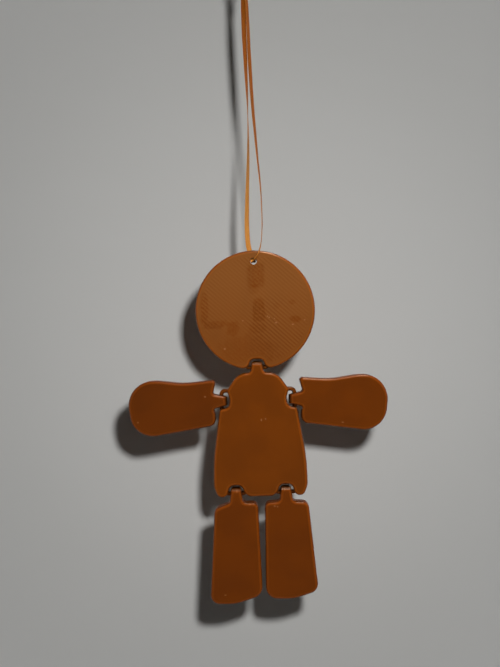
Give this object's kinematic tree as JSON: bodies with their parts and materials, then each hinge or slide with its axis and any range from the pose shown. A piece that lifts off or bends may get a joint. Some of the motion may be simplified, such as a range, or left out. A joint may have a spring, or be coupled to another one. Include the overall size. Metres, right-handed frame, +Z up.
{
  "type": "flexi toy figure",
  "caption": "Flat faceless toy figure of jointed plastic plates with ring hinges at neck, shoulders and hips, hung on a satin ribbon looped through a hole in its head.",
  "frame": {"origin": "the point just under the knot where the ribbon's two strands meet, from which the figure hangs", "axes": "+Z up along the hanging ribbon, +Y out of the figure's back, +X to the figure's own left; the front faces -Y"},
  "size_m": [0.1102, 0.0104, 0.2717],
  "materials": {
    "brown_plastic": "satin, with the fine lines of its print",
    "gold_ribbon": "satin weave"
  },
  "bodies": {
    "head": {"head": "brown_plastic", "ribbon": "gold_ribbon"},
    "torso": {"torso": "brown_plastic"},
    "left_arm": {"left_arm": "brown_plastic"},
    "right_arm": {"right_arm": "brown_plastic"},
    "left_leg": {"left_leg": "brown_plastic"},
    "right_leg": {"right_leg": "brown_plastic"}
  },
  "joints": [
    {"name": "neck", "type": "hinge", "parent": "head", "child": "torso", "pos_m": [0, 0, -0.1593], "axis": [1, 0, 0], "range_deg": [-45, 45]},
    {"name": "left_shoulder", "type": "hinge", "parent": "torso", "child": "left_arm", "pos_m": [0.0156, 0, -0.1722], "axis": [0, 0, 1], "range_deg": [-30, 30]},
    {"name": "right_shoulder", "type": "hinge", "parent": "torso", "child": "right_arm", "pos_m": [-0.0156, 0, -0.1722], "axis": [0, 0, 1], "range_deg": [-30, 30]},
    {"name": "left_hip", "type": "hinge", "parent": "torso", "child": "left_leg", "pos_m": [0.01065, 0, -0.2128], "axis": [1, 0, 0], "range_deg": [-90, 90]},
    {"name": "right_hip", "type": "hinge", "parent": "torso", "child": "right_leg", "pos_m": [-0.01065, 0, -0.2128], "axis": [1, 0, 0], "range_deg": [-90, 90]}
  ]
}
